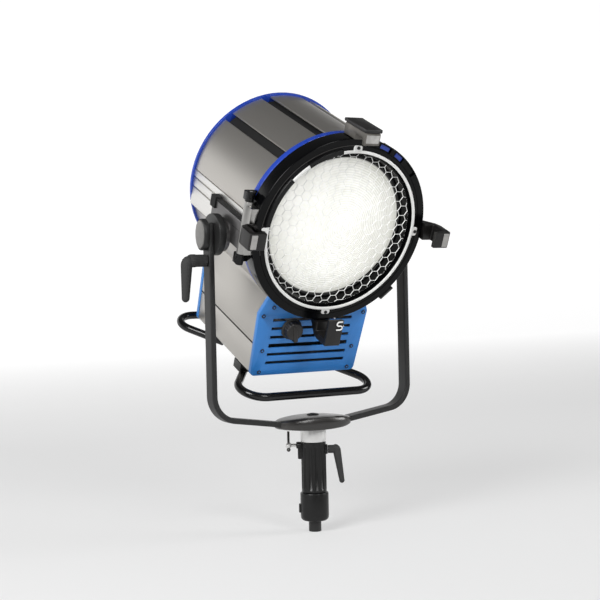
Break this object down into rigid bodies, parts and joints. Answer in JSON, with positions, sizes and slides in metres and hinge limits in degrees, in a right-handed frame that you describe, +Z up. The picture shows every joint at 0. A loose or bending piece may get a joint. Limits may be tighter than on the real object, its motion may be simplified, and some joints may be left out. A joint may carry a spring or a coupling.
{
  "type": "fresnel spotlight",
  "caption": "Fresnel spotlight with drum-shaped lamp head on a boxed lower housing, hinged lens door with accessory brackets, tube skids, and a flat-bar yoke on a clamping stand head.",
  "frame": {"origin": "centre of the flat lower end of the stand post", "axes": "+Z up along the post and pan axis, beam towards -Y tilted down in the rest pose, tilt axis along X"},
  "size_m": [0.4696, 0.5419, 0.8007],
  "materials": {
    "black_enamel": "satin black enamel",
    "black_casting": "satin black on aluminium",
    "black_plastic": "matte",
    "bright_steel": "bright",
    "deep_blue": "satin enamel",
    "azure": "satin enamel",
    "satin_aluminium": "satin, warm grey",
    "grey_anodised": "anodised grey",
    "lens_glass": "pressed glass",
    "white_ceramic": "glazed ceramic",
    "mirror_aluminium": "polished"
  },
  "bodies": {
    "stand_head": {"post": "black_enamel", "lower_sleeve": "black_casting", "receiver": "black_casting"},
    "clamp_lever": {"clamp_lever": "black_plastic"},
    "t_screw": {"t_screw": "bright_steel"},
    "t_bar": {"t_bar": "black_enamel"},
    "yoke": {"yoke_strip": "black_enamel", "saddle_plate": "black_casting", "spigot": "bright_steel", "spigot_bolt": "bright_steel", "hub_cap_left": "grey_anodised", "hub_cap_right": "grey_anodised", "brake_drum_left": "black_enamel", "brake_drum_right": "black_enamel"},
    "tilt_lock": {"tilt_lock_lever": "black_plastic"},
    "head": {"front_flange": "deep_blue", "rear_flange": "deep_blue", "barrel_liner": "black_casting", "top_panel": "satin_aluminium", "upper_panel_left": "satin_aluminium", "upper_panel_right": "satin_aluminium", "side_panel_left": "satin_aluminium", "side_panel_right": "satin_aluminium", "rail_left": "satin_aluminium", "rail_right": "satin_aluminium", "trunnion_plate_left": "grey_anodised", "trunnion_plate_right": "grey_anodised", "lower_side_left": "satin_aluminium", "lower_side_right": "satin_aluminium", "base_tray": "satin_aluminium", "front_panel": "azure", "rear_panel": "azure", "cable_gland": "black_plastic", "igniter_box": "grey_anodised", "skid_front": "black_enamel", "skid_rear": "black_enamel", "skid_clamp_front": "black_enamel", "skid_clamp_rear": "black_enamel", "hinge_pin": "bright_steel", "guide_rod_left": "bright_steel", "guide_rod_right": "bright_steel"},
    "lens_door": {"door_ring": "black_casting", "lens": "lens_glass", "lens_retainer": "black_plastic", "wire_mesh": "bright_steel", "guard_ring": "bright_steel", "hinge_strap": "bright_steel", "bracket_top": "black_casting", "bracket_right": "black_casting", "bracket_bottom": "black_casting", "bracket_left": "black_casting", "retaining_spring": "bright_steel"},
    "top_clip": {"top_clip": "black_enamel"},
    "door_latch": {"door_latch": "black_enamel"},
    "focus_knob": {"focus_knob": "black_plastic", "focus_screw": "bright_steel"},
    "lamp_carriage": {"lamp_carriage": "grey_anodised", "lamp_socket": "white_ceramic", "lamp": "lens_glass", "reflector": "mirror_aluminium"}
  },
  "joints": [
    {"name": "pan", "type": "hinge", "parent": "stand_head", "child": "yoke", "pos_m": [0, 0, 0.1625], "axis": [0, 0, 1], "continuous": true},
    {"name": "tilt", "type": "hinge", "parent": "yoke", "child": "head", "pos_m": [0, 0, 0.538], "axis": [1, 0, 0], "range_deg": [-48, 60]},
    {"name": "tilt_lock_turn", "type": "hinge", "parent": "yoke", "child": "tilt_lock", "pos_m": [-0.2048, 0, 0.493], "axis": [1, 0, 0], "range_deg": [-45, 45]},
    {"name": "clamp_turn", "type": "hinge", "parent": "stand_head", "child": "clamp_lever", "pos_m": [0.03314, -0.0186, 0.148], "axis": [0.8721, -0.4894, 0], "range_deg": [-35, 35]},
    {"name": "t_screw_turn", "type": "hinge", "parent": "stand_head", "child": "t_screw", "pos_m": [-0.03924, 0.02202, 0.156], "axis": [0.8721, -0.4894, 0], "range_deg": [-180, 180]},
    {"name": "t_bar_slide", "type": "slide", "parent": "t_screw", "child": "t_bar", "axis": [0, 0, 1], "range_m": [-0.018, 0]},
    {"name": "door_swing", "type": "hinge", "parent": "head", "child": "lens_door", "pos_m": [-0.172, -0.08676, 0.54906], "axis": [0, -0.402, 0.9157], "range_deg": [-90, 0]},
    {"name": "door_latch_turn", "type": "hinge", "parent": "head", "child": "door_latch", "pos_m": [0.12289, -0.02815, 0.4429], "axis": [0.7009, -0.2867, 0.6531], "range_deg": [0, 60]},
    {"name": "top_clip_turn", "type": "hinge", "parent": "lens_door", "child": "top_clip", "pos_m": [0, -0.16362, 0.72664], "axis": [1, 0, 0], "range_deg": [-60, 0]},
    {"name": "focus_turn", "type": "hinge", "parent": "head", "child": "focus_knob", "pos_m": [-0.042, -0.0022, 0.36885], "axis": [0, -0.9157, -0.402], "range_deg": [-540, 540]},
    {"name": "lamp_slide", "type": "slide", "parent": "head", "child": "lamp_carriage", "axis": [0, 0.9157, 0.402], "range_m": [-0.03, 0.03]}
  ],
  "couplings": [
    {"joint": "focus_turn", "follows": "lamp_slide", "rad_per_m": 314.16}
  ]
}
